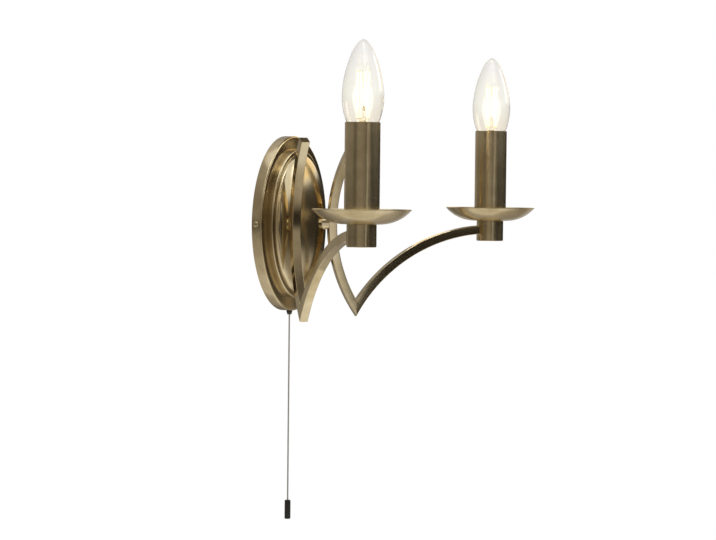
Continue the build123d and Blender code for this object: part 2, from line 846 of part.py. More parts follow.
arm_pieces = {"bow": bow(), "bow_cap": bow_cap(), "branch": branch()}
candle_pieces = {
    "cup": cup(),
    "drip_dish": drip_dish(),
    "holder_base": holder_base(),
    "holder_body": holder_body(),
    "holder_shell": holder_shell(),
    "holder_contact": holder_contact(),
    "candle_sleeve": candle_sleeve(),
    "bulb_glass": bulb_glass(),
    "bulb_cap": bulb_cap(),
    "bulb_contact": bulb_contact(),
    "bulb_stem": bulb_stem(),
    "bulb_filaments": bulb_filaments(),
    "bulb_wires": bulb_wires(),
}
for side, word in ((-1, "left"), (1, "right")):
    parts[word + "_boss"] = boss(side)
    for name, piece in arm_pieces.items():
        parts[word + "_" + name] = on_arm(side, piece)
    for name, piece in candle_pieces.items():
        parts[word + "_" + name] = on_candle(side, piece)

os.makedirs("parts", exist_ok=True)
for name, piece in parts.items():
    export_step(piece, "parts/" + name + ".step")
section = pi * cord_radius ** 2
print("free cord", cord_drop, "mm, straight, volume", round(pull_cord().volume, 2), "mm3, section times length",
      round(section * cord_drop, 2), "mm3")
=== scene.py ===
from math import asin, cos, pi, radians, sin, sqrt

import bpy
from mathutils import Matrix, Vector
from mathutils.geometry import interpolate_bezier


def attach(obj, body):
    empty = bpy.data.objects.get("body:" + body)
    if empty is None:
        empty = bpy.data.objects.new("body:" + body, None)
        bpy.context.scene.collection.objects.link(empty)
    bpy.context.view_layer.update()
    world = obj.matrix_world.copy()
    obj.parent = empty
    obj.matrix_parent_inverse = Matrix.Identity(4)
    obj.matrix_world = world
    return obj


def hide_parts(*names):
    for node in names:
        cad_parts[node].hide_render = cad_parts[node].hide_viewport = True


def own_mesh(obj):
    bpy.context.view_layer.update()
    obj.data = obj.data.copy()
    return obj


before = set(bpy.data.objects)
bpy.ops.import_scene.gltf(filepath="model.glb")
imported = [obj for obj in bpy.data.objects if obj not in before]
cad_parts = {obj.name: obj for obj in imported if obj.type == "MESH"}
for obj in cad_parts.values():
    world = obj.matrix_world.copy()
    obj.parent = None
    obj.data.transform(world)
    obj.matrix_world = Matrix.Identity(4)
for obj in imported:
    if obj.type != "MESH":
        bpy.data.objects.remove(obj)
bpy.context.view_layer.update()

scene = bpy.context.scene
scene.view_settings.view_transform = "Standard"

# ---------------------------------------------------------------- camera
# A long lens looks along the wall from the left, level with the middle of the canopy, as a
# catalogue photographer stands it: about two metres away, turned a little down.
stand_off = 1.9638
stand_turn = radians(62)
camera_height = 0.0372
lens_yaw = radians(63.95)
lens_pitch = radians(2.31)
lens_roll = radians(0.61)
forward = Vector((sin(lens_yaw) * cos(lens_pitch), cos(lens_yaw) * cos(lens_pitch), -sin(lens_pitch)))
level_right = forward.cross(Vector((0, 0, 1))).normalized()
level_up = level_right.cross(forward)
camera_right = level_right * cos(lens_roll) + level_up * sin(lens_roll)
camera_up = level_up * cos(lens_roll) - level_right * sin(lens_roll)
camera_data = bpy.data.cameras.new("catalogue_camera")
camera_data.lens = 108.0
camera_data.clip_start = 0.05
camera = bpy.data.objects.new("catalogue_camera", camera_data)
scene.collection.objects.link(camera)
turn_matrix = Matrix((camera_right, camera_up, -forward)).transposed().to_4x4()
stand = Vector((-stand_off * sin(stand_turn), -stand_off * cos(stand_turn), camera_height))
camera.matrix_world = Matrix.Translation(stand) @ turn_matrix
scene.camera = camera


# ---------------------------------------------------------------- pull cord
# A thin translucent cord, laid of two strands, that leaves the bush under the rim and hangs
# straight under the weight of its end piece. It is 1.4 mm thick and 170.5 mm long.
cord_depth = 0.005
bush_foot = -0.0831
cord_exit = Vector((0, -cord_depth, bush_foot))
cord_length = 0.1705
cord_diameter = 0.0014
# Each point's way from the bush: to the left, out from the wall and down.
cord_drops = [(0, 0, 0), (0, 0, 0.0085), (0.0004, 0.0002, 0.060), (-0.0003, -0.0002, 0.115), (0, 0, 0.162),
              (0, 0, cord_length)]
cord_points = [cord_exit - Vector(drop) for drop in cord_drops]


def node_maker(tree):
    """A maker of nodes in one tree, which takes a node's inputs and then its settings."""
    def node(kind, inputs=None, **settings):
        new = tree.nodes.new("ShaderNode" + kind)
        for key, value in settings.items():
            setattr(new, key, value)
        for key, value in (inputs or {}).items():
            new.inputs[key].default_value = value
        return new

    return node


def finish_of(name):
    """A new node material, with its shader, its links and a maker of nodes."""
    made = bpy.data.materials.new(name)
    made.use_nodes = True
    tree = made.node_tree
    return made, tree.nodes["Principled BSDF"], tree.links.new, node_maker(tree)


def ramp_of(node, stops):
    """A colour ramp with its stops as (share, colour) pairs."""
    ramp = node("ValToRGB")
    elements = ramp.color_ramp.elements
    while len(elements) < len(stops):
        elements.new(1.0)
    for element, (share, colour) in zip(elements, stops):
        element.position = share
        element.color = (*colour, 1)
    return ramp


def dress(piece, finish):
    """Gives the piece one finish in every slot."""
    slots = piece.data.materials
    if not slots:
        slots.append(finish)
    for number in range(len(slots)):
        slots[number] = finish


def cord_finish():
    """Milky grey laid cord: a fine slanting lay, with painted shade between the strands and a painted
    highlight where a strand stands proud.
    """
    made, shader, link, node = finish_of("laid_cord")
    place = node("TexCoord")
    slant = node("Mapping", {"Rotation": (0, radians(38), 0)})
    lay = node("TexWave", {"Scale": 170, "Distortion": 0.4}, bands_direction="Z", wave_profile="SIN")
    # Painted shade in the grooves of the lay and a painted highlight on the proud strands, taken from the
    # wave that drives the bump.
    strand_light_and_shade = ramp_of(node, [(0, (0.20, 0.18, 0.15)), (1, (0.55, 0.52, 0.47))])
    lift = node("Bump", {"Distance": 0.0002})
    link(place.outputs["Object"], slant.inputs["Vector"])
    link(slant.outputs["Vector"], lay.inputs["Vector"])
    link(lay.outputs["Fac"], strand_light_and_shade.inputs["Fac"])
    link(lay.outputs["Fac"], lift.inputs["Height"])
    link(strand_light_and_shade.outputs["Color"], shader.inputs["Base Color"])
    link(lift.outputs["Normal"], shader.inputs["Normal"])
    shader.inputs["Roughness"].default_value = 0.42
    return made


cord_curve = bpy.data.curves.new("hanging_cord", "CURVE")
cord_curve.dimensions = "3D"
cord_curve.bevel_depth = cord_diameter / 2
cord_curve.bevel_resolution = 5
cord_curve.resolution_u = 16
cord_line = cord_curve.splines.new("NURBS")
cord_line.points.add(len(cord_points) - 1)
for control, point in zip(cord_line.points, cord_points):
    control.co = (*point, 1)
cord_line.order_u = 3
cord_line.use_endpoint_u = True
cord = bpy.data.objects.new("hanging_cord", cord_curve)
scene.collection.objects.link(cord)
laid_cord = cord_finish()
dress(cord, laid_cord)
dress(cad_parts["inner_cord"], laid_cord)
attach(cord, "pull")
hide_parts("pull_cord")


# ---------------------------------------------------------------- canopy
# A stepped oval back plate, 127 x 159 x 26 mm, spun from 1 mm brass sheet: rim, flat ledge, step,
# groove and dome. It is brushed round its oval and toned to an antique olive brown. Its ledge and groove are
# darkened by patina and by painted shade, and it is lacquered. It is bored for the two nipples, the side
# screws and the cord.
plate_half_width = 0.0635
plate_half_height = 0.0795
plate_sheet = 0.001
rim_depth = 0.010
rim_round = 0.0016
ledge_width = 0.0115
step_depth = 0.015
step_round = 0.0014
groove_width = 0.0048
dome_rise = 0.0114
oval_sides = 160
arm_splay = radians(41.3)
arm_offset = 0.0108
nipple_hole = 0.0031
nipple_bore = 0.02
side_screw_depth = 0.004
side_screw_hole = 0.002
cord_hole = 0.0021
rim_bore = 0.008
recess_patina_and_shade_depth = 0.020
# Levels of patina and painted shade on the ledge and groove, by share of the depth behind the rim.
recess_patina_and_shade_levels = [
    (0.47, 1.0), (0.495, 0.70), (0.53, 0.70), (0.64, 0.95), (0.73, 0.95), (0.75, 0.75), (0.80, 1.0)]


def antique_brass(name, pivot=(0, 0, 0), turn=(0, 0, 0), stretch=(1, 1, 1), roughness=0.18, brushing=0.2):
    """Antique brass, brushed along rings about the piece's local Z axis through the pivot.

    The brush lines follow the distance from that axis, the height along it and, far more slowly,
    the angle round it. The toning lies over them in soft clouds."""
    made, shader, link, node = finish_of(name)
    place = node("TexCoord")
    centre = node("Mapping", {"Location": pivot, "Rotation": turn, "Scale": stretch}, vector_type="TEXTURE")
    split = node("SeparateXYZ")
    flat = node("CombineXYZ")
    reach = node("VectorMath", operation="LENGTH")
    angle = node("Math", operation="ARCTAN2")
    slow_angle = node("Math", {1: 0.0016}, operation="MULTIPLY")
    ring = node("CombineXYZ")
    link(place.outputs["Object"], centre.inputs["Vector"])
    link(centre.outputs["Vector"], split.inputs["Vector"])
    link(split.outputs["X"], flat.inputs["X"])
    link(split.outputs["Y"], flat.inputs["Y"])
    link(flat.outputs["Vector"], reach.inputs[0])
    link(split.outputs["Y"], angle.inputs[0])
    link(split.outputs["X"], angle.inputs[1])
    link(angle.outputs[0], slow_angle.inputs[0])
    link(reach.outputs["Value"], ring.inputs["X"])
    link(split.outputs["Z"], ring.inputs["Y"])
    link(slow_angle.outputs[0], ring.inputs["Z"])

    lines = node("TexNoise", {"Scale": 5200, "Detail": 3, "Roughness": 0.65})
    clouds = node("TexNoise", {"Scale": 55, "Detail": 4})
    mixed = node("Mix", {"Factor": 0.35}, data_type="FLOAT")
    tone = ramp_of(node, [(0.30, (0.51, 0.405, 0.235)), (0.68, (0.74, 0.635, 0.42))])
    link(ring.outputs["Vector"], lines.inputs["Vector"])
    link(place.outputs["Object"], clouds.inputs["Vector"])
    link(clouds.outputs["Fac"], mixed.inputs["A"])
    link(lines.outputs["Fac"], mixed.inputs["B"])
    link(mixed.outputs["Result"], tone.inputs["Fac"])
    link(tone.outputs["Color"], shader.inputs["Base Color"])

    shine = node("MapRange", {"To Min": roughness - 0.04, "To Max": roughness + 0.06})
    lift = node("Bump", {"Strength": brushing, "Distance": 0.00006})
    link(lines.outputs["Fac"], shine.inputs["Value"])
    link(lines.outputs["Fac"], lift.inputs["Height"])
    link(shine.outputs["Result"], shader.inputs["Roughness"])
    link(lift.outputs["Normal"], shader.inputs["Normal"])
    shader.inputs["Metallic"].default_value = 1.0
    return made


def shade_and_patina_in_recesses(finish):
    """Tones the canopy's ledge and groove darker, as patina and painted shade of the recesses, by (share of
    the recess depth, level) stops.
    """
    tree = finish.node_tree
    shader = tree.nodes["Principled BSDF"]
    link = tree.links.new
    node = node_maker(tree)
    place = node("TexCoord")
    split = node("SeparateXYZ")
    depth = node("MapRange", {"From Min": 0, "From Max": -recess_patina_and_shade_depth})
    patina_and_shade = ramp_of(node, [(share, (level, level ** 1.12, level ** 1.3)) for share, level in recess_patina_and_shade_levels])
    patina_and_shade_applied = node("Mix", {"Factor": 1.0}, data_type="RGBA", blend_type="MULTIPLY")
    link(place.outputs["Object"], split.inputs["Vector"])
    link(split.outputs["Y"], depth.inputs["Value"])
    link(depth.outputs["Result"], patina_and_shade.inputs["Fac"])
    link(shader.inputs["Base Color"].links[0].from_socket, patina_and_shade_applied.inputs["A"])
    link(patina_and_shade.outputs["Color"], patina_and_shade_applied.inputs["B"])
    link(patina_and_shade_applied.outputs["Result"], shader.inputs["Base Color"])


def draw_oval(name, rings, sides):
    """Draws an oval ring out through (half width, half height, depth) rings, as sheet is spun."""
    bpy.ops.object.select_all(action="DESELECT")
    bpy.ops.mesh.primitive_circle_add(vertices=sides, radius=1, rotation=(pi / 2, 0, 0))
    piece = bpy.context.active_object
    piece.name = name
    half_width, half_height, depth = rings[0]
    piece.scale = (half_width, half_height, 1)
    piece.location.y = -depth
    bpy.ops.object.transform_apply(location=True, rotation=True, scale=True)
    bpy.ops.object.mode_set(mode="EDIT")
    bpy.ops.mesh.select_all(action="SELECT")
    for next_width, next_height, next_depth in rings[1:]:
        bpy.ops.mesh.extrude_edges_move(TRANSFORM_OT_translate={"value": (0, depth - next_depth, 0)})
        bpy.ops.transform.resize(
            value=(next_width / half_width, 1, next_height / half_height),
            center_override=(0, -next_depth, 0))
        half_width, half_height, depth = next_width, next_height, next_depth
    return piece


def pick(piece):
    """Selects one piece alone and makes it the active one."""
    bpy.ops.object.select_all(action="DESELECT")
    piece.select_set(True)
    bpy.context.view_layer.objects.active = piece


def close_skin(piece, smooth_angle=30):
    """Welds the seams, turns the faces outwards and shades the round stretches smooth."""
    bpy.ops.mesh.select_all(action="SELECT")
    bpy.ops.mesh.remove_doubles(threshold=0.000004)
    bpy.ops.mesh.normals_make_consistent(inside=False)
    bpy.ops.object.mode_set(mode="OBJECT")
    pick(piece)
    bpy.ops.object.shade_smooth_by_angle(angle=radians(smooth_angle))


def work(piece, kind, **settings):
    """Adds a modifier to the piece and applies it."""
    pick(piece)
    step = piece.modifiers.new(kind.lower(), kind)
    for key, value in settings.items():
        setattr(step, key, value)
    bpy.ops.object.modifier_apply(modifier=step.name)


def even_flats(piece):
    """Lets the large flat faces keep their own shading beside the small rounds."""
    work(piece, "WEIGHTED_NORMAL", keep_sharp=True)


def cut_away(piece, tool):
    """Takes the tool's shape out of the piece, and puts the tool away."""
    work(piece, "BOOLEAN", object=tool, operation="DIFFERENCE", solver="EXACT")
    bpy.data.objects.remove(tool, do_unlink=True)


def bore(piece, start, direction, radius, length):
    """Drills a round hole from a point, along a direction."""
    direction = Vector(direction).normalized()
    bpy.ops.object.select_all(action="DESELECT")
    bpy.ops.mesh.primitive_cylinder_add(
        vertices=48, radius=radius, depth=length, location=Vector(start) + direction * length / 2,
        rotation=direction.to_track_quat("Z", "Y").to_euler())
    cut_away(piece, bpy.context.active_object)


def quarter(steps):
    """Angles through a quarter turn, without its start."""
    return [radians(90) * (step + 1) / steps for step in range(steps)]


def inset_ring(inset, depth):
    """A ring that follows the rim, so far inside it."""
    return (plate_half_width - inset, plate_half_height - inset, depth)


canopy_rings = [inset_ring(0, 0), inset_ring(0, rim_depth - rim_round)]
for angle in quarter(5):
    canopy_rings.append(inset_ring(rim_round * (1 - cos(angle)), rim_depth - rim_round * (1 - sin(angle))))
canopy_rings.append(inset_ring(ledge_width, rim_depth))
canopy_rings.append(inset_ring(ledge_width, step_depth - step_round))
for angle in quarter(5):
    canopy_rings.append(inset_ring(
        ledge_width + step_round * (1 - cos(angle)), step_depth - step_round * (1 - sin(angle))))
dome_inset = ledge_width + groove_width
canopy_rings.append(inset_ring(dome_inset, step_depth))
dome_half_width = plate_half_width - dome_inset
dome_half_height = plate_half_height - dome_inset
for angle in quarter(22)[:-1]:
    canopy_rings.append((dome_half_width * cos(angle), dome_half_height * cos(angle),
                         step_depth + dome_rise * sin(angle)))
canopy = draw_oval("spun_canopy", canopy_rings, oval_sides)
bpy.ops.mesh.extrude_edges_move(TRANSFORM_OT_translate={"value": (0, 0, 0)})
bpy.ops.mesh.merge(type="CENTER")
close_skin(canopy)
work(canopy, "SOLIDIFY", thickness=plate_sheet, offset=-1, use_even_offset=True)
for side in (-1, 1):
    out = Vector((side * sin(arm_splay), -cos(arm_splay), 0))
    bore(canopy, Vector((side * arm_offset, 0, 0)) + out * step_depth, out, nipple_hole, nipple_bore)
    bore(canopy, (side * (plate_half_width - rim_bore / 2), -side_screw_depth, 0), (side, 0, 0),
         side_screw_hole, rim_bore)
bore(canopy, (0, -cord_depth, -plate_half_height + rim_bore / 2), (0, 0, -1), cord_hole, rim_bore)
even_flats(canopy)
canopy_brass = antique_brass("canopy_brass", turn=(radians(90), 0, 0), stretch=(0.8, 1, 1), roughness=0.16,
                             brushing=0.05)
# Darkens the ledge and groove with patina and painted shade.
shade_and_patina_in_recesses(canopy_brass)
dress(canopy, canopy_brass)
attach(canopy, "fixture")
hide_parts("canopy")


# ---------------------------------------------------------------- side screws
# Two small brass screws enter the rim at three and nine o'clock and hold the canopy on the
# bracket's tabs. Each has a 5.2 mm domed head with a plain slot, and a 3.4 mm shank.
screw_head_radius = 0.0026
screw_head = 0.0012
screw_edge = 0.0004
screw_shank_radius = 0.00172
screw_length = 0.007
slot_width = 0.0006
slot_depth = 0.0005
slot_turn = radians(35)


def turn_on_lathe(name, outline, sides=96, foot=False, smooth_angle=30):
    """Turns an outline of (radius, height) points about Z. It closes on itself, or it starts on
    a filled foot, and a last radius of nothing draws it to a point."""
    bpy.ops.object.select_all(action="DESELECT")
    radius, height = outline[0]
    bpy.ops.mesh.primitive_circle_add(vertices=sides, radius=radius, fill_type="NGON" if foot else "NOTHING",
                                      location=(0, 0, height))
    piece = bpy.context.active_object
    piece.name = name
    bpy.ops.object.transform_apply(location=True)
    bpy.ops.object.mode_set(mode="EDIT")
    bpy.ops.mesh.select_mode(type="EDGE")
    bpy.ops.mesh.select_all(action="SELECT")
    if foot:
        bpy.ops.mesh.select_all(action="DESELECT")
        bpy.ops.mesh.select_non_manifold()
    route = outline[1:]
    if not foot and outline[-1][0] > 0:
        route = route + outline[:1]
    for next_radius, next_height in route:
        bpy.ops.mesh.extrude_edges_move(TRANSFORM_OT_translate={"value": (0, 0, next_height - height)})
        if next_radius == 0:
            bpy.ops.mesh.merge(type="CENTER")
        else:
            share = next_radius / radius
            bpy.ops.transform.resize(value=(share, share, 1), center_override=(0, 0, next_height))
        radius, height = next_radius, next_height
    close_skin(piece, smooth_angle)
    return piece


def settle(piece, place):
    """Moves and turns the piece to its place, and leaves its object at the origin."""
    piece.matrix_world = place
    pick(piece)
    bpy.ops.object.transform_apply(location=True, rotation=True, scale=True)


def copies(master, word, places):
    """Copies the finished piece to named places, each copy with its own mesh."""
    made = []
    for hand, place in places.items():
        piece = master.copy()
        piece.data = master.data.copy()
        piece.name = hand + "_" + word
        scene.collection.objects.link(piece)
        settle(piece, place)
        made.append(piece)
    bpy.data.objects.remove(master, do_unlink=True)
    return made


screw_outline = [(screw_shank_radius, -screw_length), (screw_shank_radius, 0), (screw_head_radius, 0),
                 (screw_head_radius, screw_edge)]
for angle in quarter(6):
    screw_outline.append((screw_head_radius * cos(angle),
                          screw_edge + (screw_head - screw_edge) * sin(angle)))
screw_outline[-1] = (0, screw_head)
screw = turn_on_lathe("screw", screw_outline, sides=48, foot=True)
bpy.ops.object.select_all(action="DESELECT")
bpy.ops.mesh.primitive_cube_add(size=1, location=(0, 0, screw_head),
                                scale=(3 * screw_head_radius, slot_width, 2 * slot_depth))
cut_away(screw, bpy.context.active_object)
screw_brass = antique_brass("screw_brass", pivot=(0, -side_screw_depth, 0), turn=(0, radians(90), 0))
screw_places = {}
for side, hand in ((-1, "left"), (1, "right")):
    screw_places[hand] = (Matrix.Translation((side * plate_half_width, -side_screw_depth, 0))
                          @ Matrix.Rotation(side * radians(90), 4, "Y")
                          @ Matrix.Rotation(slot_turn, 4, "Z"))
for piece in copies(screw, "slotted_screw", screw_places):
    dress(piece, screw_brass)
    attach(piece, "fixture")
    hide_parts("side_screws")


# ---------------------------------------------------------------- wall bracket and its fixings
# Behind the canopy: a zinc plated steel strap with two tabs and a lug, hollow steel nipples,
# saddle washers and nuts that hold the arms, and a brass earth screw.
def plated(name, dark, light, roughness, grain=900, metal=1.0):
    """Plated or bare metal with a faint grain and cloudy wear."""
    made, shader, link, node = finish_of(name)
    place = node("TexCoord")
    speckle = node("TexNoise", {"Scale": grain, "Detail": 5})
    cloud = node("TexNoise", {"Scale": grain / 14})
    both = node("Mix", {"Factor": 0.5}, data_type="FLOAT")
    tone = ramp_of(node, [(0.35, dark), (0.65, light)])
    shine = node("MapRange", {"To Min": roughness * 0.75, "To Max": roughness * 1.3})
    lift = node("Bump", {"Strength": 0.15, "Distance": 0.00005})
    link(place.outputs["Object"], speckle.inputs["Vector"])
    link(place.outputs["Object"], cloud.inputs["Vector"])
    link(speckle.outputs["Fac"], both.inputs["A"])
    link(cloud.outputs["Fac"], both.inputs["B"])
    link(both.outputs["Result"], tone.inputs["Fac"])
    link(tone.outputs["Color"], shader.inputs["Base Color"])
    link(cloud.outputs["Fac"], shine.inputs["Value"])
    link(shine.outputs["Result"], shader.inputs["Roughness"])
    link(speckle.outputs["Fac"], lift.inputs["Height"])
    link(lift.outputs["Normal"], shader.inputs["Normal"])
    shader.inputs["Metallic"].default_value = metal
    return made


def dress_nodes(finish, *names):
    """Gives carried-over pieces their finish."""
    for name in names:
        dress(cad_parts[name], finish)


zinc = plated("zinc_plated_steel", (0.52, 0.53, 0.52), (0.72, 0.72, 0.70), 0.34)
bright_brass = plated("bright_brass", (0.62, 0.47, 0.20), (0.80, 0.64, 0.32), 0.25)
dress_nodes(zinc, "wall_bracket", "boss_nipples", "saddle_washers", "boss_nuts")
dress_nodes(bright_brass, "earth_screw")


# ---------------------------------------------------------------- terminal block and leads
# A moulded white nylon block of three poles with brass inserts and steel screws. Brown sleeved
# leads run from it through the arms and to the switch.
def moulded(name, dark, light, roughness):
    """Moulded plastic: nearly even, with a fine orange-peel surface."""
    return plated(name, dark, light, roughness, grain=700, metal=0.0)


nylon = moulded("white_nylon", (0.78, 0.76, 0.70), (0.88, 0.87, 0.82), 0.45)
lead_sleeve = moulded("brown_sleeving", (0.16, 0.08, 0.035), (0.24, 0.125, 0.055), 0.5)
dress_nodes(nylon, "terminal_block", "switch_plunger")
dress_nodes(bright_brass, "terminal_inserts")
dress_nodes(zinc, "terminal_screws")
dress_nodes(lead_sleeve, "arm_leads", "switch_leads")


# ---------------------------------------------------------------- pull switch
# A black moulded switch with a nylon plunger on a wound steel spring, and a blackened tapered nut
# under the rim. The cord carries a black moulded end piece, 5.5 x 17.3 mm, with rounded ends and
# a countersunk hole where the cord goes in.
bush_top = -0.07955
bush_top_radius = 0.0027
bush_tip_radius = 0.0020
bush_land = 0.0008
bush_edge = 0.0002
cord_mouth = 0.0012
end_top = cord_exit.z - cord_length
end_radius = 0.00275
end_length = 0.0173
end_round = 0.0007
end_mouth = 0.0011
end_mouth_depth = 0.0008
end_hole_radius = cord_diameter / 2 + 0.00005
end_hole_depth = 0.004
spring_foot = -0.062
spring_length = 0.014
spring_radius = 0.0029
spring_turns = 8
wire_radius = 0.0003
wire_sides = 10
steps_a_turn = 24
switch_black = moulded("switch_black", (0.012, 0.011, 0.010), (0.030, 0.028, 0.026), 0.38)
spring_steel = plated("spring_steel", (0.42, 0.42, 0.41), (0.62, 0.62, 0.60), 0.28)
dress_nodes(switch_black, "switch_case", "switch_lid")

bpy.ops.object.select_all(action="DESELECT")
bpy.ops.mesh.primitive_circle_add(
    vertices=wire_sides, radius=wire_radius, rotation=(radians(90), 0, 0),
    location=(spring_radius - wire_radius, 0, spring_foot + wire_radius))
spring = bpy.context.active_object
spring.name = "wound_spring"
bpy.ops.object.transform_apply(location=True, rotation=True)
work(spring, "SCREW", axis="Z", angle=2 * pi * spring_turns, screw_offset=spring_length - 2 * wire_radius,
     steps=steps_a_turn * spring_turns, render_steps=steps_a_turn * spring_turns)
bpy.ops.object.mode_set(mode="EDIT")
bpy.ops.mesh.select_all(action="SELECT")
bpy.ops.mesh.fill_holes(sides=0)
close_skin(spring, smooth_angle=60)
settle(spring, Matrix.Translation((0, -cord_depth, 0)))
dress(spring, spring_steel)
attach(spring, "fixture")
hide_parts("plunger_spring")
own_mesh(spring)

bush = turn_on_lathe("tapered_bush", [
    (cord_mouth, bush_foot), (bush_tip_radius - bush_edge, bush_foot),
    (bush_tip_radius, bush_foot + bush_edge), (bush_top_radius, bush_top - bush_land),
    (bush_top_radius, bush_top - bush_edge), (bush_top_radius - bush_edge, bush_top),
    (cord_mouth, bush_top)], sides=48)
settle(bush, Matrix.Translation((0, -cord_depth, 0)))
dress(bush, plated("blackened_steel", (0.05, 0.042, 0.032), (0.13, 0.11, 0.085), 0.35))
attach(bush, "fixture")
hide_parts("switch_bush")

end_foot = end_top - end_length
end_outline = [(end_radius - end_round, end_foot)]
for angle in quarter(5):
    end_outline.append((end_radius - end_round * (1 - sin(angle)), end_foot + end_round * (1 - cos(angle))))
for angle in [radians(90)] + [radians(90) - turn for turn in quarter(5)]:
    end_outline.append((end_radius - end_round * (1 - sin(angle)), end_top - end_round * (1 - cos(angle))))
end_outline += [(end_mouth, end_top), (end_hole_radius, end_top - end_mouth_depth),
                (end_hole_radius, end_top - end_hole_depth), (0, end_top - end_hole_depth)]
cord_end = turn_on_lathe("cord_end_piece", end_outline, sides=64, foot=True)
settle(cord_end, Matrix.Translation((0, -cord_depth, 0)))
dress(cord_end, moulded("cord_end_black", (0.008, 0.007, 0.006), (0.020, 0.018, 0.016), 0.30))
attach(cord_end, "pull")
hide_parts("cord_end")


# ---------------------------------------------------------------- arms
# Each arm is two bent lengths of 8 mm square brass tube, 1 mm wall, in one upright plane: a bow
# that stands off the canopy on a boss, and a branch that rises to the candle, mitred and brazed
# where they meet. A plate closes the bow's free end.
bar = 0.008
bar_wall = 0.001
bar_corner = 0.0006
bow_reach = 0.039
bow_radius = 0.143
bow_top = 0.075
bow_end_sheet = 0.0012
candle_reach = 0.1926
branch_radius = 0.1528
branch_crest = -0.0048
braze_gap = 0.00003
cup_radius = 0.0125
bow_centre = Vector((bow_reach + bow_radius, 0, 0))
branch_centre = Vector((candle_reach, 0, branch_crest - branch_radius))
between = branch_centre - bow_centre
along = (bow_radius ** 2 - branch_radius ** 2 + between.length_squared) / (2 * between.length)
aside = sqrt(bow_radius ** 2 - along ** 2)
to_branch = between.normalized()
mitre_point = bow_centre + to_branch * along + Vector((to_branch.z, 0, -to_branch.x)) * aside
up_bow = Vector((mitre_point.z, 0, bow_centre.x - mitre_point.x)).normalized()
up_branch = Vector((mitre_point.z - branch_centre.z, 0, branch_centre.x - mitre_point.x)).normalized()
split_line = (up_bow + up_branch).normalized()
mitre_across = Vector((split_line.z, 0, -split_line.x))
mitre_overrun = 1.5 * bar
bow_rise = asin(bow_top / bow_radius)
bow_end_turn = bow_end_sheet / bow_radius
bow_fall = asin(-mitre_point.z / bow_radius) + mitre_overrun / bow_radius
branch_start = asin((mitre_point.z - branch_centre.z) / branch_radius) - mitre_overrun / branch_radius


def on_arm(side):
    """The arm's plane, with X outwards and Z up, in its place on one side."""
    return (Matrix.Translation((side * arm_offset, 0, 0))
            @ Matrix.Rotation(side * arm_splay - radians(90), 4, "Z"))


arm_places = {"left": on_arm(-1), "right": on_arm(1)}


def bent_bar(name, pivot, radius, low, high):
    """Bends square tube along an arc about a level axis. Angles rise from the level."""
    bpy.ops.object.select_all(action="DESELECT")
    bpy.ops.mesh.primitive_plane_add(size=bar, location=pivot - Vector((radius, 0, 0)))
    piece = bpy.context.active_object
    piece.name = name
    bpy.ops.object.transform_apply(location=True)
    bpy.ops.object.mode_set(mode="EDIT")
    bpy.ops.mesh.select_all(action="SELECT")
    bpy.ops.mesh.bevel(offset=bar_corner, affect="VERTICES", segments=4)
    bpy.ops.mesh.select_all(action="SELECT")
    bpy.ops.mesh.delete(type="ONLY_FACE")
    bpy.ops.object.mode_set(mode="OBJECT")
    settle(piece, Matrix.Translation(pivot) @ Matrix.Rotation(low, 4, "Y") @ Matrix.Translation(-pivot))
    bpy.ops.object.mode_set(mode="EDIT")
    bpy.ops.mesh.select_all(action="SELECT")
    bpy.ops.mesh.spin(steps=72, angle=low - high, center=pivot, axis=(0, 1, 0))
    close_skin(piece, smooth_angle=20)
    work(piece, "SOLIDIFY", thickness=bar_wall, offset=-1, use_even_offset=True)
    return piece


def mitre(piece, away):
    """Cuts the tube's low end off at the mitre. Away points from the piece across the cut."""
    pick(piece)
    bpy.ops.object.mode_set(mode="EDIT")
    bpy.ops.mesh.select_mode(type="FACE")
    bpy.ops.mesh.select_all(action="DESELECT")
    bpy.ops.object.mode_set(mode="OBJECT")
    for face in piece.data.polygons:
        face.select = (face.center - mitre_point).length < 4 * bar
    bpy.ops.object.mode_set(mode="EDIT")
    bpy.ops.mesh.select_mode(type="EDGE")
    bpy.ops.mesh.bisect(plane_co=mitre_point, plane_no=away, clear_outer=True)
    bpy.ops.mesh.bridge_edge_loops()
    close_skin(piece, smooth_angle=20)


bow = bent_bar("bow", bow_centre, bow_radius, -bow_fall, bow_rise - bow_end_turn)
mitre(bow, mitre_across)
branch = bent_bar("branch", branch_centre, branch_radius, branch_start, radians(90))
bore(branch, (candle_reach, 0, branch_crest - bar), (0, 0, 1), cup_radius + braze_gap, 2 * bar)
mitre(branch, -mitre_across)
even_flats(bow)
even_flats(branch)
bow_pieces = copies(bow, "bow_tube", arm_places)
branch_pieces = copies(branch, "branch_tube", arm_places)
for hand, bow_piece, branch_piece in zip(arm_places, bow_pieces, branch_pieces):
    place = arm_places[hand]
    turn = (place @ Matrix.Rotation(radians(90), 4, "X")).to_euler()
    bow_brass = antique_brass(hand + "_bow_brass", pivot=place @ bow_centre, turn=turn,
                              roughness=0.11, brushing=0.02)
    branch_brass = antique_brass(hand + "_branch_brass", pivot=place @ branch_centre, turn=turn,
                                 roughness=0.075, brushing=0.01)
    dress(bow_piece, bow_brass)
    dress_nodes(bow_brass, hand + "_bow_cap", hand + "_boss")
    dress(branch_piece, branch_brass)
    for piece, word in ((bow_piece, "bow"), (branch_piece, "branch")):
        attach(piece, "fixture")
        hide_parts(hand + "_" + word)


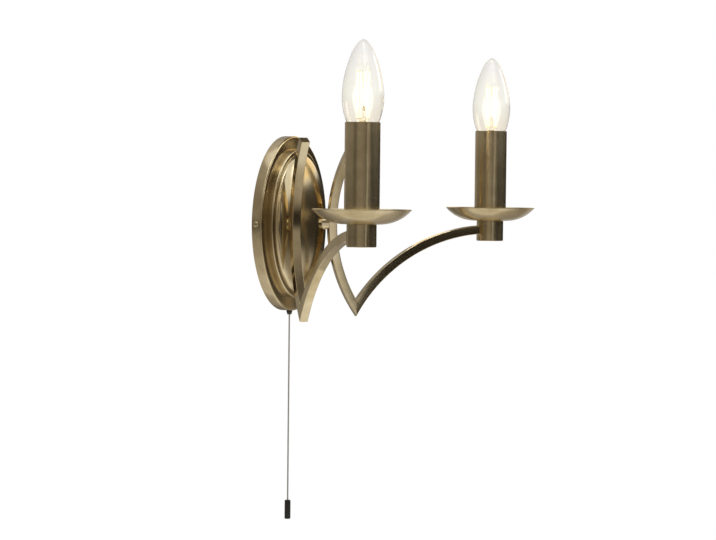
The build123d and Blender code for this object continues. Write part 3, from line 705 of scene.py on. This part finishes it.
# ---------------------------------------------------------------- cups and drip dishes
# A turned brass cup, 25 mm across, closes the branch and carries a dish spun from 0.8 mm sheet,
# 83 mm across: a flat floor and one arc up to a thin rim. A washer and a nut clamp the dish.
cup_base = -0.0155
cup_top = 0.0034
cup_wall = 0.002
cup_web = 0.005
cup_chamfer = 0.0004
dish_radius = 0.0415
dish_depth = 0.0121
dish_floor_radius = 0.0152
dish_sheet = 0.0008
tube_hole = 0.0051
candle_places = {hand: place @ Matrix.Translation((candle_reach, 0, 0)) for hand, place in arm_places.items()}
candle_brass = {}
for hand, place in candle_places.items():
    candle_brass[hand] = antique_brass(hand + "_candle_brass", pivot=place.translation, roughness=0.20,
                                       brushing=0.06)


def fit_candle(master, word, replaced, finishes, body="fixture"):
    """Puts the finished piece on both arms, with its finish and body, and hides the part it replaces."""
    for hand, piece in zip(candle_places, copies(master, word, candle_places)):
        dress(piece, finishes[hand])
        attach(piece, body if body == "fixture" else hand + "_" + body)
        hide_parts(hand + "_" + replaced)


cup = turn_on_lathe("cup", [
    (cup_radius - cup_wall, cup_base), (cup_radius - cup_chamfer, cup_base),
    (cup_radius, cup_base + cup_chamfer), (cup_radius, cup_top - cup_chamfer),
    (cup_radius - cup_chamfer, cup_top), (tube_hole, cup_top), (tube_hole, cup_top - cup_web),
    (cup_radius - cup_wall, cup_top - cup_web)])
bore(cup, (0, 0, branch_crest), (-1, 0, 0), bar / 2 - bar_wall, 2 * cup_radius)
fit_candle(cup, "turned_cup", "cup", candle_brass)

dish_run = dish_radius - dish_floor_radius
dish_bend = (dish_run ** 2 + dish_depth ** 2) / (2 * dish_depth)
rim_angle = asin(dish_run / dish_bend)
rim_lip = dish_sheet * 0.3


def dish_point(bend, angle):
    """A point of the dish's arc, at an angle past the edge of its flat floor."""
    return (dish_floor_radius + bend * sin(angle), cup_top + dish_bend - bend * cos(angle))


dish_steps = 14
angles = [rim_angle * step / dish_steps for step in range(dish_steps + 1)]
under = [dish_point(dish_bend, angle) for angle in angles]
over = [dish_point(dish_bend - dish_sheet, angle) for angle in reversed(angles)]
under[-1] = dish_point(dish_bend, rim_angle - rim_lip / dish_bend)
over[0] = dish_point(dish_bend - dish_sheet, rim_angle - rim_lip / dish_bend)
lip = [dish_point(dish_bend - rim_lip, rim_angle), dish_point(dish_bend - dish_sheet + rim_lip, rim_angle)]
dish = turn_on_lathe("dish", under + lip + over + [
    (tube_hole, cup_top + dish_sheet), (tube_hole, cup_top)], sides=144)
fit_candle(dish, "spun_dish", "drip_dish", candle_brass)
dress_nodes(zinc, "dish_washers", "dish_nuts", "holder_tubes")
dress_nodes(candle_brass["left"], "cup_discs")


# ---------------------------------------------------------------- lampholders and candle sleeves
# Black moulded lampholders with a brass screw shell stand on hollow tubes inside sleeves of
# 29.5 mm brass tube, 83.4 mm long, which rest on the dish floors and are brushed round.
sleeve_foot = 0.0042
sleeve_length = 0.0834
sleeve_radius = 0.01475
sleeve_wall = 0.0007
sleeve_edge = 0.00015
sleeve_top = sleeve_foot + sleeve_length
sleeve_inside = sleeve_radius - sleeve_wall
sleeve = turn_on_lathe("sleeve", [
    (sleeve_radius - sleeve_edge, sleeve_foot), (sleeve_radius, sleeve_foot + sleeve_edge),
    (sleeve_radius, sleeve_top - sleeve_edge), (sleeve_radius - sleeve_edge, sleeve_top),
    (sleeve_inside + sleeve_edge, sleeve_top), (sleeve_inside, sleeve_top - sleeve_edge),
    (sleeve_inside, sleeve_foot + sleeve_edge), (sleeve_inside + sleeve_edge, sleeve_foot)], sides=120)
fit_candle(sleeve, "sleeve_tube", "candle_sleeve", candle_brass)
holder_black = moulded("holder_black", (0.015, 0.014, 0.013), (0.035, 0.033, 0.031), 0.32)
for hand in candle_places:
    dress_nodes(holder_black, hand + "_holder_base", hand + "_holder_body")
    dress_nodes(bright_brass, hand + "_holder_shell", hand + "_holder_contact")


# ---------------------------------------------------------------- candle lamps
# Clear candle lamps, 35 mm across and 97 mm long, screwed in: a blown glass drawn to a soft tip,
# a nickelled screw cap, a glass stem, and four lit filament sticks on fine wires.
cap_rim = 0.0791
glass_tip = 0.1560
glass_belly = 0.1086
glass_radius = 0.0175
glass_wall = 0.0007
neck_radius = 0.0076
cap_foot = 0.0620
cap_radius = 0.00695
cap_sheet = 0.0004
cap_toe = 0.0012
cap_heel = 0.0011
cap_edge = 0.0003
thread_start = 0.0015
thread_pitch = 0.0028
thread_depth = 0.00045
filament_ring = 0.005
filament_radius = 0.0009
filament_foot = 0.0911
filament_length = 0.038


def clear_glass(name, tint, roughness):
    """Blown glass: clear, faintly uneven, a little darker where it is seen edge on, and warmer at its foot.
    It carries a painted glow of the lit filaments: faintly yellow at their height, and faintly emitting where
    it is seen face on."""
    made, shader, link, node = finish_of(name)
    place = node("TexCoord")
    waves = node("TexNoise", {"Scale": 60})
    lift = node("Bump", {"Strength": 0.08, "Distance": 0.0004})
    facing = node("LayerWeight", {"Blend": 0.35})
    uneven = node("Math", {1: 0.12}, operation="MULTIPLY_ADD")
    tone = ramp_of(node, [(0.08, [1 - (1 - level) * 0.25 for level in tint]), (0.75, tint)])
    height = node("SeparateXYZ")
    up_glass = node("MapRange", {"From Min": cap_rim, "From Max": glass_tip})
    # Warmer at the foot. The faint yellow at the filaments' height is painted glow of the lit filaments.
    height_tint_and_glow_band = ramp_of(node, [(0, (0.955, 0.905, 0.84)), (0.45, (1, 1, 0.96)), (0.85, (0.965, 0.958, 0.955))])
    both = node("Mix", {"Factor": 1.0}, data_type="RGBA", blend_type="MULTIPLY")
    # Painted glow: a faint warm emission where the glass is seen face on, in place of the filaments' glare.
    painted_glare_glow = node("MapRange", {"From Min": 0.05, "From Max": 0.60, "To Min": 0.006, "To Max": 0.0})
    link(place.outputs["Object"], waves.inputs["Vector"])
    link(waves.outputs["Fac"], lift.inputs["Height"])
    link(lift.outputs["Normal"], shader.inputs["Normal"])
    link(waves.outputs["Fac"], uneven.inputs[0])
    link(facing.outputs["Facing"], uneven.inputs[2])
    link(uneven.outputs[0], tone.inputs["Fac"])
    link(place.outputs["Object"], height.inputs["Vector"])
    link(height.outputs["Z"], up_glass.inputs["Value"])
    link(up_glass.outputs["Result"], height_tint_and_glow_band.inputs["Fac"])
    link(tone.outputs["Color"], both.inputs["A"])
    link(height_tint_and_glow_band.outputs["Color"], both.inputs["B"])
    link(both.outputs["Result"], shader.inputs["Base Color"])
    link(facing.outputs["Facing"], painted_glare_glow.inputs["Value"])
    link(painted_glare_glow.outputs["Result"], shader.inputs["Emission Strength"])
    shader.inputs["Emission Color"].default_value = (1, 0.90, 0.66, 1)
    shader.inputs["Roughness"].default_value = roughness
    shader.inputs["Transmission Weight"].default_value = 1.0
    shader.inputs["IOR"].default_value = 1.45

    path = node("LightPath")
    thin = node("BsdfTransparent", {"Color": (0.9, 0.9, 0.9, 1)})
    mix = node("MixShader")
    link(path.outputs["Is Shadow Ray"], mix.inputs["Fac"])
    link(shader.outputs["BSDF"], mix.inputs[1])
    link(thin.outputs["BSDF"], mix.inputs[2])
    link(mix.outputs["Shader"], made.node_tree.nodes["Material Output"].inputs["Surface"])
    return made


def lit_phosphor():
    """Warm white phosphor coat of a lit filament stick, faintly mottled."""
    made, shader, link, node = finish_of("lit_phosphor")
    place = node("TexCoord")
    coat = node("TexNoise", {"Scale": 900})
    tone = ramp_of(node, [(0, (1.0, 0.84, 0.42)), (1, (1.0, 0.90, 0.52))])
    link(place.outputs["Object"], coat.inputs["Vector"])
    link(coat.outputs["Fac"], tone.inputs["Fac"])
    link(tone.outputs["Color"], shader.inputs["Base Color"])
    link(tone.outputs["Color"], shader.inputs["Emission Color"])
    shader.inputs["Emission Strength"].default_value = 1.25
    shader.inputs["Roughness"].default_value = 0.5
    return made


def fit_lamp(master, word, replaced, finish):
    """Puts the finished piece of a lamp on both arms, where it turns with its lamp."""
    fit_candle(master, word, replaced, dict.fromkeys(candle_places, finish), "lamp")


neck_flare = 0.0063
neck_rise = 0.0047
belly_below = 0.011
belly_above = 0.020
tip_shoulder = 0.0079
tip_drop = 0.0006
lower_points = 14
upper_points = 30
belly = Vector((glass_radius, 0, glass_belly))
lower = interpolate_bezier(
    Vector((neck_radius, 0, cap_rim)), Vector((neck_radius + neck_flare, 0, cap_rim + neck_rise)),
    belly - Vector((0, 0, belly_below)), belly, lower_points)
upper = interpolate_bezier(
    belly, belly + Vector((0, 0, belly_above)), Vector((tip_shoulder, 0, glass_tip - tip_drop)),
    Vector((0, 0, glass_tip)), upper_points)
glass_outline = [(point.x, point.z) for point in lower + upper[1:-1]] + [(0, glass_tip)]
glass = turn_on_lathe("glass", glass_outline, sides=96, smooth_angle=60)
work(glass, "SOLIDIFY", thickness=glass_wall, offset=-1, use_even_offset=True)
lamp_glass = clear_glass("lamp_glass", (0.86, 0.845, 0.81), 0.0)
fit_lamp(glass, "lamp_glass", "bulb_glass", lamp_glass)

cap_steps = 40
thread_foot = cap_foot + thread_start
thread_top = cap_rim - thread_pitch
thread_root = cap_radius - thread_depth
cap_outline = [(cap_radius - cap_toe, cap_foot), (cap_radius - cap_edge, cap_foot + cap_heel)]
for step in range(cap_steps + 1):
    height = thread_foot + (thread_top - thread_foot) * step / cap_steps
    wave = 0.5 - 0.5 * cos(2 * pi * (height - thread_foot) / thread_pitch)
    cap_outline.append((cap_radius - thread_depth * (1 - wave), height))
cap_outline += [(neck_radius, cap_rim - cap_sheet), (neck_radius - cap_sheet, cap_rim - cap_sheet),
                (thread_root - cap_sheet, thread_top), (thread_root - cap_sheet, cap_foot + cap_toe),
                (0, cap_foot + cap_toe)]
cap = turn_on_lathe("cap", cap_outline, sides=72, foot=True, smooth_angle=50)
nickel = plated("nickelled_cap", (0.60, 0.60, 0.58), (0.80, 0.80, 0.77), 0.22)
fit_lamp(cap, "lamp_cap", "bulb_cap", nickel)

stem_outline = [(0.0064, 0.0637), (0.0064, 0.0781), (0.0055, 0.0796), (0.0040, 0.0810), (0.0034, 0.0828),
                (0.0030, 0.0870), (0.0024, 0.0960), (0.0020, 0.1003), (0.0014, 0.1011), (0, 0.1011)]
stem = turn_on_lathe("stem", stem_outline, sides=48, foot=True, smooth_angle=50)
stem_glass = clear_glass("stem_glass", (0.95, 0.93, 0.88), 0.05)
fit_lamp(stem, "lamp_stem", "bulb_stem", stem_glass)

stick_edge = 0.0003
stick = turn_on_lathe("stick", [
    (filament_radius - stick_edge, filament_foot), (filament_radius, filament_foot + stick_edge),
    (filament_radius, filament_foot + filament_length - stick_edge),
    (filament_radius - stick_edge, filament_foot + filament_length), (0, filament_foot + filament_length)],
    sides=20, foot=True)
stick_places = {}
for number in range(4):
    stick_places[str(number)] = (Matrix.Rotation(radians(90) * (number + 0.5), 4, "Z")
                                 @ Matrix.Translation((filament_ring, 0, 0)))
sticks = copies(stick, "stick", stick_places)
pick(sticks[0])
for other in sticks[1:]:
    other.select_set(True)
bpy.ops.object.join()
fit_lamp(sticks[0], "lamp_filaments", "bulb_filaments", lit_phosphor())
insulator = moulded("dark_insulator", (0.012, 0.010, 0.014), (0.030, 0.026, 0.032), 0.15)
for hand in candle_places:
    dress_nodes(nickel, hand + "_bulb_wires")
    dress_nodes(insulator, hand + "_bulb_contact")


# ---------------------------------------------------------------- floor and light
# A white sweep far below, soft panels above and at the side, and graded flags all round, whose
# dark stretches at the horizon give polished brass its dark bands. A warm glow is in each lamp.
floor_height = -1.35
glow_power = 0.25
glow_radius = 0.010


def looked_at(node, link):
    """One where a thing is seen straight, in a reflection or through glass, and else nothing."""
    path = node("LightPath")
    seen = node("Math", operation="MAXIMUM")
    seen_or_through = node("Math", operation="MAXIMUM")
    link(path.outputs["Is Camera Ray"], seen.inputs[0])
    link(path.outputs["Is Glossy Ray"], seen.inputs[1])
    link(seen.outputs[0], seen_or_through.inputs[0])
    link(path.outputs["Is Transmission Ray"], seen_or_through.inputs[1])
    return seen_or_through.outputs[0]


bpy.ops.object.select_all(action="DESELECT")
bpy.ops.mesh.primitive_plane_add(size=60, location=(0, 0, floor_height))
floor = bpy.context.active_object
floor.name = "studio_floor"
bpy.ops.object.transform_apply(location=True)
floor_finish, floor_shader, link, node = finish_of("pale_floor")
floor_shader.inputs["Base Color"].default_value = (0.82, 0.82, 0.81, 1)
floor_shader.inputs["Roughness"].default_value = 0.9
glow = node("Emission", {"Strength": 1.03})
white_share = node("Math", {1: 0.96}, operation="MULTIPLY")
mix = node("MixShader")
link(looked_at(node, link), white_share.inputs[0])
link(white_share.outputs[0], mix.inputs["Fac"])
link(floor_shader.outputs["BSDF"], mix.inputs[1])
link(glow.outputs["Emission"], mix.inputs[2])
link(mix.outputs["Shader"], floor_finish.node_tree.nodes["Material Output"].inputs["Surface"])
dress(floor, floor_finish)

world = bpy.data.worlds.new("pale_studio")
world.use_nodes = True
scene.world = world
sky = world.node_tree.nodes["Background"]
sky.inputs["Color"].default_value = (1, 1, 1, 1)
sky_node = node_maker(world.node_tree)
sky_link = world.node_tree.links.new
sky_level = sky_node("MapRange", {"To Min": 0.55, "To Max": 1.0})
sky_link(looked_at(sky_node, sky_link), sky_level.inputs["Value"])
sky_link(sky_level.outputs["Result"], sky.inputs["Strength"])

flag_radius = 1.3
flag_tint = (1.0, 0.87, 0.70)


def flag(name, azimuths, shades, lit=(1, 1, 1)):
    """A curved graded flag round the light, seen by the metal's reflections only. Azimuth turns
    from straight out of the wall towards the left. The shades are (elevation, level) pairs: warm
    where they are dark, and of the lit colour where they are bright."""
    first, last = azimuths
    rings = []
    for elevation, _ in shades:
        lift = radians(elevation)
        rings.append(Vector((-sin(radians(first)) * cos(lift), -cos(radians(first)) * cos(lift), sin(lift)))
                     * flag_radius)
    bpy.ops.object.select_all(action="DESELECT")
    bpy.ops.mesh.primitive_plane_add(size=1)
    piece = bpy.context.active_object
    piece.name = name
    bpy.ops.object.mode_set(mode="EDIT")
    bpy.ops.mesh.select_all(action="SELECT")
    bpy.ops.mesh.merge(type="CENTER")
    bpy.ops.mesh.select_all(action="SELECT")
    bpy.ops.transform.translate(value=rings[0])
    for here, there in zip(rings, rings[1:]):
        bpy.ops.mesh.extrude_vertices_move(TRANSFORM_OT_translate={"value": there - here})
    bpy.ops.mesh.select_all(action="SELECT")
    bpy.ops.mesh.spin(steps=24, angle=radians(last - first), center=(0, 0, 0), axis=(0, 0, 1))
    bpy.ops.object.mode_set(mode="OBJECT")
    stops = []
    for ring, (_, level) in zip(rings, shades):
        colour = [level * hue * (tint + (1 - tint) * min(level, 1)) for tint, hue in zip(flag_tint, lit)]
        stops.append(((ring.z - rings[0].z) / (rings[-1].z - rings[0].z), colour))
    made, _, link, node = finish_of(name)
    place = node("TexCoord")
    split = node("SeparateXYZ")
    share = node("MapRange", {"From Min": rings[0].z, "From Max": rings[-1].z})
    grade = ramp_of(node, stops)
    glow = node("Emission")
    link(place.outputs["Object"], split.inputs["Vector"])
    link(split.outputs["Z"], share.inputs["Value"])
    link(share.outputs["Result"], grade.inputs["Fac"])
    link(grade.outputs["Color"], glow.inputs["Color"])
    link(glow.outputs["Emission"], made.node_tree.nodes["Material Output"].inputs["Surface"])
    dress(piece, made)
    piece.visible_camera = False
    piece.visible_diffuse = False
    piece.visible_shadow = False
    piece.visible_transmission = False


flag("flag_right", (-118, -45), [
    (-65, 0.54), (-30, 0.30), (-13, 0.60), (-9, 0.55), (-6, 0.03), (7.5, 0.03), (10, 1.2)])
flag("flag_front_right", (-45, -30), [
    (-65, 0.9), (-50, 0.8), (-30, 0.5), (-14, 0.3), (-8, 0.05), (7, 0.04), (11, 1.0)])
flag("flag_front", (-30, -20), [
    (-65, 0.95), (-50, 0.8), (-30, 0.5), (-14, 0.25), (-8, 0.06), (6, 0.05), (11, 0.95)])
flag("flag_front_left", (-20, 8), [
    (-65, 1.0), (-50, 1.0), (-34, 0.6), (-14, 0.15), (-8, 0.03), (6, 0.03), (11, 0.95)])
flag("flag_camera_right", (8, 17), [
    (-65, 1.0), (-50, 1.0), (-26, 0.5), (-12, 0.14), (8, 0.07), (30, 0.1), (60, 0.12)])
flag("flag_camera", (17, 30.8), [
    (-65, 1.0), (-50, 1.0), (-30, 0.55), (-14, 0.34), (-8, 0.03), (-1, 0.03), (3, 0.36), (18, 0.34),
    (34, 0.16), (60, 0.12)])
flag("flag_camera_left", (30.8, 35), [
    (-65, 1.0), (-30, 0.7), (-14, 0.95), (-1, 0.95), (2, 0.5), (8, 0.5), (24, 0.1), (60, 0.12)])
flag("flag_lens", (35, 44), [(-65, 1.0), (-30, 0.6), (-14, 0.15), (8, 0.14), (24, 0.1), (60, 0.12)])
flag("flag_lens_left", (44, 56), [(-65, 1.0), (-30, 0.6), (-14, 0.26), (8, 0.22), (24, 0.1), (60, 0.12)])
flag("flag_left", (56, 92), [
    (-65, 0.9), (-30, 0.6), (-14, 0.34), (-3, 0.29), (6, 0.26), (14, 0.35), (50, 0.9)])
flag("flag_far_left", (92, 114), [(-65, 0.8), (-30, 0.45), (-12, 0.14), (6, 0.13), (14, 0.3), (50, 0.8)])
flag("flag_wall_left", (114, 190), [
    (-65, 0.75), (-30, 0.50), (-12, 0.38), (-3, 0.13), (1, 0.13), (4, 0.30), (25, 0.30), (55, 0.44)])
flag("flag_wall_right", (190, 242), [(-65, 0.50), (-30, 0.16), (-12, 0.32), (8, 0.32), (35, 0.4), (60, 0.6)])
flag("flag_warm_right", (-118, -45), [(10.2, 1.35), (22, 1.2), (35.8, 0.8)], lit=(1, 0.82, 0.54))
flag("flag_high_right", (-150, -50), [(36, 0.2), (60, 0.12), (84, 0.3)])
flag("flag_floor", (0, 360), [(-88, 0.64), (-75, 0.68), (-65, 0.9)], lit=(1, 0.98, 0.90))


def soft_panel(name, place, size, power):
    """A square softbox that faces the light."""
    lamp = bpy.data.lights.new(name, "AREA")
    lamp.size = size
    lamp.energy = power
    panel = bpy.data.objects.new(name, lamp)
    scene.collection.objects.link(panel)
    panel.location = place
    panel.rotation_euler = (-Vector(place)).to_track_quat("-Z", "Y").to_euler()


soft_panel("top_softbox", place=(-0.8, -0.9, 1.5), size=1.0, power=9)
soft_panel("side_softbox", place=(1.3, -1.2, 0.7), size=0.8, power=5)
for hand, place in candle_places.items():
    warmth = bpy.data.lights.new(hand + "_glow", "POINT")
    warmth.energy = glow_power
    warmth.color = (1.0, 0.72, 0.38)
    warmth.shadow_soft_size = glow_radius
    warm_lamp = bpy.data.objects.new(hand + "_glow", warmth)
    warm_lamp.location = place @ Vector((0, 0, glass_belly))
    warm_lamp.visible_transmission = False
    warm_lamp.visible_camera = False
    scene.collection.objects.link(warm_lamp)
